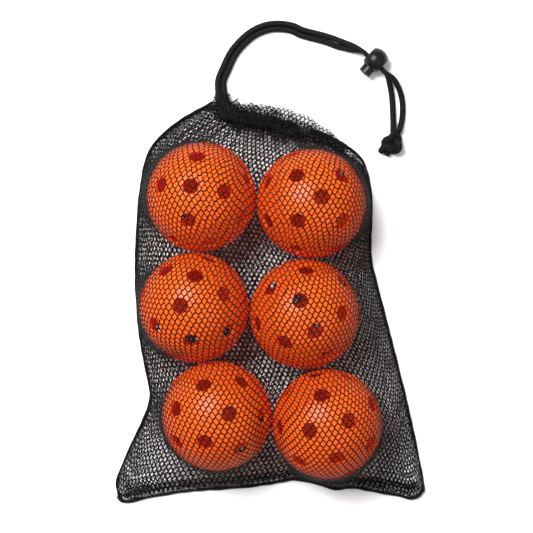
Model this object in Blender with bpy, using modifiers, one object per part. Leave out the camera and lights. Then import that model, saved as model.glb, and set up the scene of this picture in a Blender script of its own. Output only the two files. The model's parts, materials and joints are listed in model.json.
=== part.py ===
"""Six pickleball balls in a mesh drawstring bag, lying flat.

Metres, +Z up. The bag lies on the plane z = 0 with its mouth towards +Y. The origin is the
bottom centre of the bag with its balls, without the free drawcord and what is on it.
"""
import math

import bmesh
import bpy
import numpy as np
from mathutils import Matrix, Vector

MM = 0.001
GAP = 0.3 * MM                      # space left between pieces that touch

# Ball: two identical moulded halves, welded at the equator.
BALL_RADIUS = 36.8 * MM
BALL_WALL = 1.9 * MM
HOLE_DIAMETER = 10.3 * MM
INNER_RING = (4, 36.2, 0.0)         # holes, angle from the pole, first azimuth (degrees)
OUTER_RING = (8, 72.0, 22.5)
HALF_STAGGER = 22.5                 # turn of the second half about the pole axis (degrees)

# Layout of the balls: three rows of two, each pair turned a little from the X axis.
BALL_PITCH = 74.2 * MM
FIRST_BALL = (-46.3 * MM, 71.5 * MM)
PAIR_TURN = (-3.4, -3.4, -4.2)      # direction of each pair, left to right (degrees)
ROW_TURN = (-93.6, -78.2)           # direction from each row's left ball to the next (degrees)
BALL_TILT = (                       # how each ball came to rest (Euler XYZ, degrees)
    (169, -6, 16), (172, 7, -22),
    (144, 1, -4), (-2, 20, -64),
    (124, -2, 120), (-73, 1, 14),
)

# Bag fabric and seams.
FABRIC = 0.8 * MM
SEAM_RADIUS = 1.9 * MM
SEAM_HEIGHT = 2.1 * MM              # centre of a seam above the ground
SEAM_INSET = SEAM_RADIUS + GAP + 1.1 * MM
SEAM_STEP = 9.0 * MM
FRONT_EDGE = 2.6 * MM               # height of the front panel's edge at a seam
BALL_CLEARANCE = 1.2 * MM           # from a ball to the front panel's points
DIAGONAL_CLEARANCE = 0.6 * MM       # and to the middle of its cells
PANEL_COLUMNS = 20
PANEL_ROWS = 26
BACK_ROWS = 18
ROLL_ROWS = 5
RELAX_STEPS = 500

# Seam centre lines, in millimetres: x, y, height added to SEAM_HEIGHT.
LEFT_SEAM = (
    (-102.6, -130.6, 0), (-103.4, -121.5, 0), (-94.6, -100, 0), (-85.0, -79, 0), (-80.9, -66, 0),
    (-82.2, -54, 0), (-88.0, -23, 0), (-90.7, 12, 0), (-90.4, 43, 0), (-87.7, 78, 0),
    (-81.0, 104.5, 0), (-63.5, 122.2, 0), (-44.5, 133.2, 0),
)
BOTTOM_SEAM = (
    (-101.0, -136.1, 0), (-86.4, -132.9, 0), (-64.5, -128.8, 0), (-42.5, -126.7, 0),
    (-20.6, -125.3, 0), (1.4, -122.4, 0), (18, -119.6, 0), (34.3, -122.0, 0), (56, -124.8, 0),
    (78.2, -128.2, 0), (101.2, -132.2, 0),
)
RIGHT_SEAM = (
    (103.6, -126.6, 0), (102.6, -118, 0), (98.0, -94, 0), (92, -66.8, 0), (83.8, -33.9, 0),
    (73.9, 4.6, 0), (67.8, 32, 0), (68.3, 70.4, 0), (62.8, 95.8, 0), (50.0, 106.9, 0.5),
    (38.0, 112.8, 1.6), (26.5, 116.6, 2.6),
)

# Hem round the mouth: a hollow hairpin tube, open at both ends, pulled nearly shut.
HEM_RADIUS = 2.5 * MM
HEM_WALL = 0.45 * MM
HEM_STEP = 4.0 * MM
HEM_ROUTE = (
    (-35.8, 138.0, 6.6), (-35.2, 132.6, 6.6), (-31.8, 128.8, 6.6), (-25.5, 126.6, 6.6),
    (-16.0, 124.5, 6.6), (-6.5, 122.8, 6.6), (3.0, 120.1, 6.6), (11.0, 116.4, 6.4),
    (15.5, 115.7, 5.9), (18.3, 118.4, 5.2), (16.8, 121.7, 4.4), (12.5, 122.9, 4.0),
    (4.5, 124.5, 4.0), (-5.5, 127.3, 4.0), (-15.1, 129.1, 4.0), (-24.2, 131.1, 4.0),
    (-28.8, 132.8, 4.0), (-31.0, 135.4, 4.0), (-31.2, 138.0, 4.0),
)
FRONT_TOP = (                       # edge of the front panel along the hem
    (-39.6, 130.6, 4.6), (-35.2, 125.8, 5.8), (-28.0, 123.2, 6.2), (-17.0, 121.0, 6.2),
    (-7.3, 119.2, 6.2), (1.7, 116.7, 6.2), (9.3, 113.0, 6.2), (15.5, 112.0, 6.0), (22.2, 112.6, 5.6),
)
# The back panel reaches up past the hem and rolls forward over itself to meet it:
# base x, base y, reach, half height (mm) and turn of the roll (degrees).
BACK_ROLL = (
    (-42.0, 130.4, 1.5, 2.4, 12), (-37.2, 133.4, 1.5, 2.4, 12), (-31.4, 134.8, 1.5, 2.4, 12),
    (-26.6, 134.7, 1.8, 2.5, 60), (-23.0, 134.4, 2.0, 2.6, 165), (-14.3, 132.6, 2.5, 2.8, 180),
    (-4.6, 130.8, 3.3, 3.0, 180), (5.6, 128.0, 5.0, 3.4, 180), (14.2, 126.6, 5.2, 3.7, 180),
    (21.0, 124.6, 5.4, 3.8, 180), (26.8, 121.2, 5.2, 3.8, 180), (33.0, 118.6, 4.0, 3.4, 175),
    (40.2, 115.2, 2.0, 2.8, 120), (50.6, 109.2, 1.2, 2.4, 15),
)

# Drawcord: one cord through the hem, both ends through the lock and into one knot.
CORD_RADIUS = 1.8 * MM
PINCHED_RADIUS = 1.35 * MM          # where the lock squeezes the two strands
PINCH_HALF_LENGTH = 12.5 * MM
PINCH_RAMP = 5.0 * MM
CORD_STEP = 6.0 * MM
STRAND_A = (                        # outer strand, millimetres
    (-35.8, 138.9, 6.6), (-35.7, 144.4, 5.2), (-35.8, 152.6, 2.5), (-32.7, 161.0, 2.0),
    (-26.4, 173.5, 2.0), (-16.3, 184.2, 2.0), (-6.2, 190.0, 2.0), (4.0, 192.0, 2.0),
    (14.9, 190.8, 2.0), (23.4, 187.3, 2.0), (38.3, 183.4, 2.0), (48.1, 179.8, 3.5),
    (57.4, 175.6, 7.4), (63.6, 171.9, 10.1), (66.9, 168.8, 10.1), (75.7, 160.6, 10.1),
    (79.0, 157.5, 10.1), (84.4, 153.4, 7.9), (88.2, 147.6, 4.6), (90.6, 140.2, 2.4), (91.2, 133.0, 2.0),
    (90.6, 125.2, 2.4), (88.5, 117.2, 4.6),
)
STRAND_B = (                        # inner strand
    (-31.2, 138.9, 4.0), (-31.5, 144.6, 3.2), (-31.8, 152.2, 2.1), (-28.9, 159.3, 2.0),
    (-23.0, 171.3, 2.0), (-13.8, 181.1, 2.0), (-4.7, 186.3, 2.0), (4.2, 188.0, 2.0),
    (13.9, 186.9, 2.0), (21.9, 183.5, 2.0), (37.1, 179.4, 2.0), (46.5, 176.0, 2.1),
    (56.6, 173.6, 4.2), (63.6, 171.9, 7.1), (66.9, 168.8, 7.1), (75.7, 160.6, 7.1),
    (79.0, 157.5, 7.1), (81.0, 154.0, 5.6), (82.4, 149.0, 3.5), (83.8, 141.0, 2.1), (84.4, 131.0, 2.0),
    (84.6, 123.5, 2.8), (84.4, 116.6, 4.6),
)
KNOT_CENTRE = (84.0, 109.2, 6.0)
KNOT_RADII = (7.3, 6.4, 5.8)
KNOT_RIPPLE = 0.05                  # depth of the wraps, as a part of the radius
TAIL_A = ((77.9, 104.2, 4.0), (76.4, 103.0, 3.2), (74.9, 101.9, 2.3))
TAIL_B = ((82.6, 101.9, 3.9), (82.0, 100.4, 3.1), (81.3, 98.8, 2.3))

# Cord lock: a flattened ball with a sprung plunger. Distances along its axis from the ball centre.
LOCK_CENTRE = (72.4 * MM, 165.9 * MM, 8.6 * MM)
LOCK_TURN = 47.0                    # direction of the plunger's axis from +X (degrees)
LOCK_RADIUS = 8.5 * MM
LOCK_MOUTH = -7.0 * MM              # where the ball is cut off and the plunger comes out
LOCK_FLAT = 6.2 * MM                # distance of the two flats round the cord hole
CORD_HOLE_RADIUS = 3.9 * MM
CORD_HOLE_SHIFT = -0.3 * MM
BORE_RADIUS = 4.15 * MM
BORE_END = 6.7 * MM
PLUNGER_RADIUS = 3.85 * MM
PLUNGER_ENDS = (-12.1 * MM, 3.6 * MM)
PLUNGER_CHAMFER = 0.5 * MM
PLUNGER_POCKET = (3.1 * MM, 1.2 * MM)   # radius and depth of the spring's seat
SLOT = (-7.2 * MM, 0.05 * MM)       # reach of the plunger's cord slot along its axis
SLOT_HALF_HEIGHT = 3.1 * MM
SPRING_RADIUS = 2.5 * MM
SPRING_WIRE = 0.2 * MM
SPRING_TURNS = 3
SPRING_STEPS = 10                   # points in one turn


def clear_scene():
    for item in list(bpy.data.objects):
        bpy.data.objects.remove(item)
    for block in list(bpy.data.collections):
        bpy.data.collections.remove(block)


def make_collection(name):
    block = bpy.data.collections.new(name)
    bpy.context.scene.collection.children.link(block)
    return block


clear_scene()
PARTS = make_collection("pickleball_balls_in_mesh_bag")
CUTTERS = make_collection("cutters")


def make_material(name, colour, roughness, metallic=0.0):
    block = bpy.data.materials.new(name)
    block.use_nodes = True
    block.diffuse_color = (*colour, 1.0)
    shader = block.node_tree.nodes["Principled BSDF"]
    shader.inputs["Base Color"].default_value = (*colour, 1.0)
    shader.inputs["Roughness"].default_value = roughness
    shader.inputs["Metallic"].default_value = metallic
    return block


def add_object(name, data, material=None, collection=PARTS):
    """Link a new object; each node gets a material of its own, made from (colour, roughness, metal)."""
    item = bpy.data.objects.new(name, data)
    collection.objects.link(item)
    if material is not None:
        block = make_material(name, *material)
        if not data.materials:
            data.materials.append(block)
        item.material_slots[0].link = "OBJECT"
        item.material_slots[0].material = block
    return item


BALL_ORANGE = ((0.92, 0.16, 0.02), 0.3)
NET_BLACK = ((0.012, 0.012, 0.013), 0.8)
SEAM_BLACK = ((0.010, 0.010, 0.011), 0.75)
CORD_BLACK = ((0.008, 0.008, 0.009), 0.7)
LOCK_BLACK = ((0.015, 0.016, 0.017), 0.4)
SPRING_STEEL = ((0.55, 0.55, 0.56), 0.3, 1.0)


def mesh_from(bm, name, smooth=True):
    mesh = bpy.data.meshes.new(name)
    bm.to_mesh(mesh)
    bm.free()
    if smooth:
        mesh.shade_smooth()
    return mesh


def as_cutter(name, mesh, matrix=None):
    item = add_object(name, mesh, collection=CUTTERS)
    if matrix is not None:
        item.matrix_world = matrix
    item.hide_render = True
    item.display_type = "WIRE"
    return item


def cut(item, cutter):
    modifier = item.modifiers.new(cutter.name, "BOOLEAN")
    modifier.operation = "DIFFERENCE"
    modifier.solver = "EXACT"
    modifier.object = cutter


def evaluated_mesh(item):
    graph = bpy.context.evaluated_depsgraph_get()
    return bpy.data.meshes.new_from_object(item.evaluated_get(graph))


def box_mesh(name, boxes):
    """Separate boxes given by their lowest and highest corners."""
    bm = bmesh.new()
    for low, high in boxes:
        middle = (Vector(low) + Vector(high)) / 2
        size = Vector(high) - Vector(low)
        matrix = Matrix.Translation(middle) @ Matrix.Diagonal((*size, 1))
        bmesh.ops.create_cube(bm, size=1, matrix=matrix)
    return mesh_from(bm, name, smooth=False)


# ---------------------------------------------------------------- curves through points

def smooth_curve(points, step):
    """Points about `step` apart on a Catmull-Rom curve through the rows of `points`."""
    rows = np.array(points, float)
    rows = np.vstack([2 * rows[0] - rows[1], rows, 2 * rows[-1] - rows[-2]])
    fine = []
    for before, start, end, after in zip(rows, rows[1:], rows[2:], rows[3:]):
        t = np.linspace(0, 1, 24, endpoint=False)[:, None]
        fine.append(0.5 * (2 * start + (end - before) * t
                           + (2 * before - 5 * start + 4 * end - after) * t ** 2
                           + (3 * start - before - 3 * end + after) * t ** 3))
    fine = np.vstack([*fine, rows[-2][None]])
    along = np.concatenate([[0], np.cumsum(np.linalg.norm(np.diff(fine[:, :3], axis=0), axis=1))])
    count = max(2, round(along[-1] / step) + 1)
    at = np.linspace(0, along[-1], count)
    return np.stack([np.interp(at, along, fine[:, k]) for k in range(fine.shape[1])], axis=1)


def curve_of(points, count):
    """Exactly `count` points, evenly spaced on the smooth curve."""
    fine = smooth_curve(points, 0.0005)
    at = np.linspace(0, len(fine) - 1, count)
    return np.stack([np.interp(at, np.arange(len(fine)), fine[:, k]) for k in range(fine.shape[1])], axis=1)


def sideways(points, distance):
    """Shift a line of points to the right of its own direction, in plan."""
    heading = np.gradient(points[:, :2], axis=0)
    heading /= np.linalg.norm(heading, axis=1)[:, None]
    moved = points.copy()
    moved[:, 0] += heading[:, 1] * distance
    moved[:, 1] -= heading[:, 0] * distance
    return moved


def add_tube(name, points, radius, material, caps=True, radii=None):
    curve = bpy.data.curves.new(name, "CURVE")
    curve.dimensions = "3D"
    curve.bevel_depth = radius
    curve.bevel_resolution = 2
    curve.use_fill_caps = caps
    spline = curve.splines.new("POLY")
    spline.points.add(len(points) - 1)
    for index, (target, point) in enumerate(zip(spline.points, points)):
        target.co = (*point, 1.0)
        if radii is not None:
            target.radius = radii[index] / radius
    return add_object(name, curve, material)


# ---------------------------------------------------------------- balls

def hole_directions():
    directions = [Vector((0, 0, 1))]
    for count, tilt, first in (INNER_RING, OUTER_RING):
        for index in range(count):
            turn = Matrix.Rotation(math.radians(first + 360 * index / count), 3, "Z")
            lean = Matrix.Rotation(math.radians(tilt), 3, "Y")
            directions.append(turn @ lean @ Vector((0, 0, 1)))
    return directions


def half_shell_mesh():
    """One moulded half: a thin sphere cut off at its equator, with thirteen holes."""
    bm = bmesh.new()
    bmesh.ops.create_uvsphere(bm, u_segments=14, v_segments=8, radius=BALL_RADIUS)
    blank = add_object("half_shell_blank", mesh_from(bm, "half_shell_blank"), collection=CUTTERS)
    thicken = blank.modifiers.new("wall", "SOLIDIFY")
    thicken.thickness = BALL_WALL
    thicken.offset = -1
    reach = 2 * BALL_RADIUS
    below = box_mesh("other_half", (((-reach, -reach, -reach), (reach, reach, GAP / 2)),))
    cut(blank, as_cutter("other_half", below))
    bm = bmesh.new()
    for direction in hole_directions():
        matrix = direction.to_track_quat("Z", "Y").to_matrix().to_4x4()
        matrix.translation = direction * (BALL_RADIUS - BALL_WALL / 2)
        bmesh.ops.create_cone(bm, cap_ends=True, segments=8, radius1=HOLE_DIAMETER / 2,
                              radius2=HOLE_DIAMETER / 2, depth=4 * BALL_WALL, matrix=matrix)
    drills = as_cutter("ball_hole_drills", mesh_from(bm, "ball_hole_drills", smooth=False))
    cut(blank, drills)
    mesh = evaluated_mesh(blank)
    mesh.name = "ball_half_shell"
    mesh.set_sharp_from_angle(angle=math.radians(40))
    bpy.data.objects.remove(blank)
    return mesh


def ball_centres():
    """Centres row by row, left ball first."""
    height = FABRIC + GAP + BALL_RADIUS
    left = Vector((*FIRST_BALL, height))
    centres = []
    for row, turn in enumerate(PAIR_TURN):
        angle = math.radians(turn)
        right = left + BALL_PITCH * Vector((math.cos(angle), math.sin(angle), 0))
        centres += [left, right]
        if row < len(ROW_TURN):
            down = math.radians(ROW_TURN[row])
            left = left + BALL_PITCH * Vector((math.cos(down), math.sin(down), 0))
    return centres


def make_balls():
    mesh = half_shell_mesh()
    flip = Matrix.Rotation(math.radians(HALF_STAGGER), 4, "Z") @ Matrix.Rotation(math.pi, 4, "X")
    for index, (centre, tilt) in enumerate(zip(ball_centres(), BALL_TILT)):
        turn = Matrix.Identity(4)
        for axis, angle in zip("XYZ", tilt):
            turn = Matrix.Rotation(math.radians(angle), 4, axis) @ turn
        for suffix, half in (("a", Matrix.Identity(4)), ("b", flip)):
            item = add_object(f"ball_{index + 1}_half_{suffix}", mesh, BALL_ORANGE)
            item.matrix_world = Matrix.Translation(centre) @ turn @ half


# ---------------------------------------------------------------- bag

def seam_line(points):
    """Seam centre line in metres at its real height."""
    line = np.array(points, float) * MM
    line[:, 2] += SEAM_HEIGHT
    return line


def coons_patch(bottom, top, left, right):
    """Fill four edges: bottom and top run left to right, left and right run upwards."""
    u = np.linspace(0, 1, len(bottom))[:, None, None]
    v = np.linspace(0, 1, len(left))[None, :, None]
    corners = ((1 - u) * (1 - v) * bottom[0] + u * (1 - v) * bottom[-1]
               + (1 - u) * v * top[0] + u * v * top[-1])
    return ((1 - v) * bottom[:, None] + v * top[:, None]
            + (1 - u) * left[None] + u * right[None] - corners)


def panel_edges(top, height, rows):
    """Edges of a panel that stops just inside the three seams and ends at `top`."""
    left = curve_of(sideways(curve_of(seam_line(LEFT_SEAM), 60), SEAM_INSET), rows + 1)
    right = curve_of(sideways(curve_of(seam_line(RIGHT_SEAM), 60), -SEAM_INSET), rows + 1)
    bottom = curve_of(sideways(curve_of(seam_line(BOTTOM_SEAM), 60), -SEAM_INSET), PANEL_COLUMNS + 1)
    for edge in (left, right, bottom):
        edge[:, 2] += height - SEAM_HEIGHT
    inside = SEAM_INSET + SEAM_RADIUS
    bottom[0] = left[0] = (left[0, 0] + GAP, bottom[0, 1] + inside / 4, height)
    bottom[-1] = right[0] = (right[0, 0] - GAP, bottom[-1, 1] + inside / 4, height)
    left[-1] = top[0]
    right[-1] = top[-1]
    return bottom, left, right


def grid_mesh(name, points):
    """A rectangular grid whose corners are moved to `points[column, row]`."""
    columns, rows = points.shape[0] - 1, points.shape[1] - 1
    bm = bmesh.new()
    bmesh.ops.create_grid(bm, x_segments=columns, y_segments=rows, size=0.5)
    for vert in bm.verts:
        column = round((vert.co.x + 0.5) * columns)
        row = round((vert.co.y + 0.5) * rows)
        vert.co = Vector(points[column, row])
    return mesh_from(bm, name)


def push_out(points, centre, reach):
    """How far each point has to move to be `reach` away from a ball's centre."""
    offset = points - np.array(centre)
    distance = np.maximum(np.linalg.norm(offset, axis=2, keepdims=True), MM)
    return offset / distance * np.maximum(reach - distance, 0)


def drape(points, centres):
    """Pull a sheet tight over the balls: points move to the middle of their neighbours."""
    for _ in range(RELAX_STEPS):
        inner = points[1:-1, 1:-1]
        inner[:] = (points[2:, 1:-1] + points[:-2, 1:-1] + points[1:-1, 2:] + points[1:-1, :-2]) / 4
        for centre in centres:
            inner += push_out(inner, centre, BALL_RADIUS + BALL_CLEARANCE)
            for first, second in ((inner[1:, 1:], inner[:-1, :-1]), (inner[1:, :-1], inner[:-1, 1:])):
                lift = push_out((first + second) / 2, centre, BALL_RADIUS + DIAGONAL_CLEARANCE)
                first += lift
                second += lift
        inner[:, :, 2] = np.maximum(inner[:, :, 2], FRONT_EDGE)
    return points


def add_panel(name, points, offset):
    item = add_object(name, grid_mesh(name, points), NET_BLACK)
    thicken = item.modifiers.new("fabric", "SOLIDIFY")
    thicken.thickness = FABRIC
    thicken.offset = offset
    thicken.use_even_offset = True
    return item


def make_front_panel():
    top = curve_of(np.array(FRONT_TOP, float) * MM, PANEL_COLUMNS + 1)
    bottom, left, right = panel_edges(top, FRONT_EDGE, PANEL_ROWS)
    points = coons_patch(bottom, top, left, right)
    dome = np.sin(np.linspace(0, math.pi, PANEL_COLUMNS + 1))[:, None]
    dome = dome * np.sin(np.linspace(0, math.pi, PANEL_ROWS + 1))[None]
    points[:, :, 2] += 2 * BALL_RADIUS * np.minimum(1, 2 * dome)
    return add_panel("front_panel", drape(points, ball_centres()), 1)


def make_back_panel():
    roll = curve_of(np.array(BACK_ROLL, float) * (MM, MM, MM, MM, 1), PANEL_COLUMNS + 1)
    base = roll[:, :2]
    top = np.column_stack([base, np.full(len(base), FABRIC / 2)])
    bottom, left, right = panel_edges(top, FABRIC / 2, BACK_ROWS)
    flat = coons_patch(bottom, top, left, right)
    flat[:, :, 2] = FABRIC / 2
    heading = np.gradient(base, axis=0)
    heading /= np.linalg.norm(heading, axis=1)[:, None]
    outward = np.column_stack([-heading[:, 1], heading[:, 0]])
    rows = [flat]
    for index in range(1, ROLL_ROWS + 1):
        angle = np.radians(roll[:, 4]) * index / ROLL_ROWS
        reach = roll[:, 2] * np.sin(angle)
        height = FABRIC / 2 + roll[:, 3] * (1 - np.cos(angle))
        rows.append(np.column_stack([base + outward * reach[:, None], height])[:, None])
    return add_panel("back_panel", np.concatenate(rows, axis=1), 0)


def make_seams():
    for name, points in (("left_seam", LEFT_SEAM), ("bottom_seam", BOTTOM_SEAM), ("right_seam", RIGHT_SEAM)):
        add_tube(name, smooth_curve(seam_line(points), SEAM_STEP), SEAM_RADIUS, SEAM_BLACK)


def make_hem():
    route = smooth_curve(np.array(HEM_ROUTE) * MM, HEM_STEP)
    hem = add_tube("mouth_hem", route, HEM_RADIUS, SEAM_BLACK, caps=False)
    wall = hem.modifiers.new("wall", "SOLIDIFY")
    wall.thickness = HEM_WALL
    wall.offset = -1
    add_tube("drawcord_loop", route, CORD_RADIUS, CORD_BLACK)


# ---------------------------------------------------------------- drawcord

def strand_radii(points):
    """Full radius, but squeezed where the strand passes through the lock."""
    distance = np.linalg.norm(points[:, :2] - np.array(LOCK_CENTRE[:2]), axis=1)
    ease = np.clip((distance - PINCH_HALF_LENGTH) / PINCH_RAMP, 0, 1)
    return PINCHED_RADIUS + (CORD_RADIUS - PINCHED_RADIUS) * ease


def make_cord():
    for name, route in (("cord_strand_a", STRAND_A), ("cord_strand_b", STRAND_B)):
        points = smooth_curve(np.array(route) * MM, CORD_STEP)
        add_tube(name, points, CORD_RADIUS, CORD_BLACK, radii=strand_radii(points))
    for name, route in (("cord_tail_a", TAIL_A), ("cord_tail_b", TAIL_B)):
        add_tube(name, np.array(route) * MM, CORD_RADIUS, CORD_BLACK)


def make_knot():
    """Overhand knot of both strands, as one solid with the wraps as soft ridges."""
    bm = bmesh.new()
    bmesh.ops.create_uvsphere(bm, u_segments=18, v_segments=10, radius=1)
    for vert in bm.verts:
        turn = math.atan2(vert.co.y, vert.co.x)
        ripple = 1 - KNOT_RIPPLE * (1 + math.cos(3 * turn + 4 * vert.co.z)) * (1 - vert.co.z ** 2)
        vert.co = Vector([axis * radius * ripple * MM for axis, radius in zip(vert.co, KNOT_RADII)])
    knot = add_object("cord_knot", mesh_from(bm, "cord_knot"), CORD_BLACK)
    knot.location = Vector(KNOT_CENTRE) * MM


# ---------------------------------------------------------------- cord lock

def lock_matrix():
    """Local +Z along the plunger's axis, local +X along the cord, local +Y down."""
    angle = math.radians(LOCK_TURN)
    axis = Vector((math.cos(angle), math.sin(angle), 0))
    along_cord = Vector((math.sin(angle), -math.cos(angle), 0))
    down = axis.cross(along_cord)
    matrix = Matrix((along_cord, down, axis)).transposed().to_4x4()
    matrix.translation = Vector(LOCK_CENTRE)
    return matrix


def turned(name, profile, material, steps):
    """A closed profile of (radius, height) points, from the axis down the outside and back to it."""
    bm = bmesh.new()
    verts = [bm.verts.new((radius, 0, height)) for radius, height in profile]
    for first, second in zip(verts, verts[1:]):
        bm.edges.new((first, second))
    item = add_object(name, mesh_from(bm, name, smooth=False), material)
    screw = item.modifiers.new("turn", "SCREW")
    screw.steps = steps
    screw.render_steps = steps
    screw.use_merge_vertices = True
    screw.merge_threshold = 0.00001
    screw.use_smooth_shade = True
    item.matrix_world = lock_matrix()
    return item


def make_lock_barrel():
    mouth_angle = math.degrees(math.asin(LOCK_MOUTH / LOCK_RADIUS))
    arc = [math.radians(90 + (mouth_angle - 90) * index / 9) for index in range(10)]
    profile = [(0, LOCK_RADIUS)]
    profile += [(LOCK_RADIUS * math.cos(angle), LOCK_RADIUS * math.sin(angle)) for angle in arc[1:]]
    profile += [(BORE_RADIUS, LOCK_MOUTH), (BORE_RADIUS, BORE_END), (0, BORE_END)]
    barrel = turned("lock_barrel", profile, LOCK_BLACK, 20)
    reach = 2 * LOCK_RADIUS
    flats = box_mesh("lock_flats", (((LOCK_FLAT, -reach, -reach), (reach, reach, reach)),
                                    ((-reach, -reach, -reach), (-LOCK_FLAT, reach, reach))))
    cut(barrel, as_cutter("lock_flats", flats, lock_matrix()))
    bm = bmesh.new()
    turn = Matrix.Translation((0, 0, CORD_HOLE_SHIFT)) @ Matrix.Rotation(math.pi / 2, 4, "Y")
    bmesh.ops.create_cone(bm, cap_ends=True, segments=16, radius1=CORD_HOLE_RADIUS,
                          radius2=CORD_HOLE_RADIUS, depth=2 * reach, matrix=turn)
    cut(barrel, as_cutter("lock_cord_hole", mesh_from(bm, "lock_cord_hole"), lock_matrix()))


def make_lock_plunger():
    outer, inner = PLUNGER_ENDS
    pocket_radius, pocket_depth = PLUNGER_POCKET
    profile = (
        (0, inner - pocket_depth), (pocket_radius, inner - pocket_depth), (pocket_radius, inner),
        (PLUNGER_RADIUS, inner), (PLUNGER_RADIUS, outer + PLUNGER_CHAMFER),
        (PLUNGER_RADIUS - PLUNGER_CHAMFER, outer), (0, outer),
    )
    plunger = turned("lock_plunger", profile, LOCK_BLACK, 20)
    reach = 2 * PLUNGER_RADIUS
    slot = box_mesh("plunger_slot", (((-reach, -SLOT_HALF_HEIGHT, SLOT[0]),
                                      (reach, SLOT_HALF_HEIGHT, SLOT[1])),))
    cut(plunger, as_cutter("plunger_slot", slot, lock_matrix()))


def make_lock_spring():
    low = PLUNGER_ENDS[1] - PLUNGER_POCKET[1] + SPRING_WIRE + GAP
    high = BORE_END - SPRING_WIRE - GAP
    count = SPRING_TURNS * SPRING_STEPS
    points = []
    for index in range(count + 1):
        angle = 2 * math.pi * index / SPRING_STEPS
        height = low + (high - low) * index / count
        points.append((SPRING_RADIUS * math.cos(angle), SPRING_RADIUS * math.sin(angle), height))
    spring = add_tube("lock_spring", points, SPRING_WIRE, SPRING_STEEL)
    spring.matrix_world = lock_matrix()


make_balls()
make_front_panel()
make_back_panel()
make_seams()
make_hem()
make_cord()
make_knot()
make_lock_barrel()
make_lock_plunger()
make_lock_spring()
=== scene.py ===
import json
import math

import bmesh
import bpy
import numpy as np
from mathutils import Matrix, Vector


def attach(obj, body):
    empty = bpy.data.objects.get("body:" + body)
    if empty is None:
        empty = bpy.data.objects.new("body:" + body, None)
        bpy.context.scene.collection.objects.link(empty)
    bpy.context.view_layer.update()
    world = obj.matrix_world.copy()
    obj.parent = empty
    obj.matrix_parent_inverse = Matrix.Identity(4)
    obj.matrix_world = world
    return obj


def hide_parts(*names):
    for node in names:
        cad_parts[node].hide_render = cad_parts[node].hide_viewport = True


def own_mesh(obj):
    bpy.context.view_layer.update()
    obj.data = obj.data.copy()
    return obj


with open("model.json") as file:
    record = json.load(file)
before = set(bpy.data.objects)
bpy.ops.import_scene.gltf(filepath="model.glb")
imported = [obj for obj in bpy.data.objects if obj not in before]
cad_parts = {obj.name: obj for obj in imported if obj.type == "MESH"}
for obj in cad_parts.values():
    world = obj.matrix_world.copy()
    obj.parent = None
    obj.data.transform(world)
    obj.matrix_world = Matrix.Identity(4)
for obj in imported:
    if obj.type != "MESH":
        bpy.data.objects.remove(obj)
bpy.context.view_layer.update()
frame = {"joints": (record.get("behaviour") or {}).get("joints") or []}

MM = 0.001
RANDOM = np.random.default_rng(11)

# Sizes shared with the CAD model.
BALL_RADIUS = 36.8 * MM
BALL_WALL = 1.9 * MM
HOLE_RADIUS = 5.15 * MM
HOLE_RINGS = ((1, 0.0, 0.0), (4, 36.2, 0.0), (8, 72.0, 22.5))   # count, tilt, first azimuth
HALF_STAGGER = 22.5
BALL_TILT = (                       # how each ball lies, degrees about X, Y and Z
    (169, -6, 16), (172, 7, -22),
    (144, 1, -4), (-2, 20, -64),
    (124, -2, 120), (-73, 1, 14),
)
CORD_RADIUS = 1.8 * MM
PINCHED_RADIUS = 1.35 * MM
PINCH_HALF_LENGTH = 12.5 * MM
PINCH_RAMP = 5.0 * MM
LOCK_CENTRE = (72.4 * MM, 165.9 * MM, 8.6 * MM)
LOCK_TURN = 47.0                    # degrees from +X to the plunger's axis

# Routes in millimetres. The bottom corners are rounder here than in the CAD model.
STRAND_A = (
    (-35.8, 138.9, 6.6), (-35.7, 144.4, 5.2), (-35.8, 152.6, 2.5), (-32.7, 161.0, 2.0),
    (-26.4, 173.5, 2.0), (-16.3, 184.2, 2.0), (-6.2, 190.0, 2.0), (4.0, 192.0, 2.0),
    (14.9, 190.8, 2.0), (23.4, 187.3, 2.0), (38.3, 183.4, 2.0), (48.1, 179.8, 3.5),
    (57.4, 175.6, 7.4), (63.6, 171.9, 10.1), (66.9, 168.8, 10.1), (75.7, 160.6, 10.1),
    (79.0, 157.5, 10.1), (84.4, 153.4, 7.9), (88.2, 147.6, 4.6), (90.6, 140.2, 2.4),
    (91.2, 133.0, 2.0), (90.6, 125.2, 2.4), (88.5, 117.2, 4.6),
)
STRAND_B = (
    (-31.2, 138.9, 4.0), (-31.5, 144.6, 3.2), (-31.8, 152.2, 2.1), (-28.9, 159.3, 2.0),
    (-23.0, 171.3, 2.0), (-13.8, 181.1, 2.0), (-4.7, 186.3, 2.0), (4.2, 188.0, 2.0),
    (13.9, 186.9, 2.0), (21.9, 183.5, 2.0), (37.1, 179.4, 2.0), (46.5, 176.0, 2.1),
    (56.6, 173.6, 4.2), (63.6, 171.9, 7.1), (66.9, 168.8, 7.1), (75.7, 160.6, 7.1),
    (79.0, 157.5, 7.1), (81.0, 154.0, 5.6), (82.4, 149.0, 3.5), (83.8, 141.0, 2.1),
    (84.4, 131.0, 2.0), (84.6, 123.5, 2.8), (84.4, 116.6, 4.6),
)
HEM_ROUTE = (
    (-35.8, 138.0, 6.6), (-35.2, 132.6, 6.6), (-31.8, 128.8, 6.6), (-25.5, 126.6, 6.6),
    (-16.0, 124.5, 6.6), (-6.5, 122.8, 6.6), (3.0, 120.1, 6.6), (11.0, 116.4, 6.4),
    (15.5, 115.7, 5.9), (18.3, 118.4, 5.2), (16.8, 121.7, 4.4), (12.5, 122.9, 4.0),
    (4.5, 124.5, 4.0), (-5.5, 127.3, 4.0), (-15.1, 129.1, 4.0), (-24.2, 131.1, 4.0),
    (-28.8, 132.8, 4.0), (-31.0, 135.4, 4.0), (-31.2, 138.0, 4.0),
)
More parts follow.
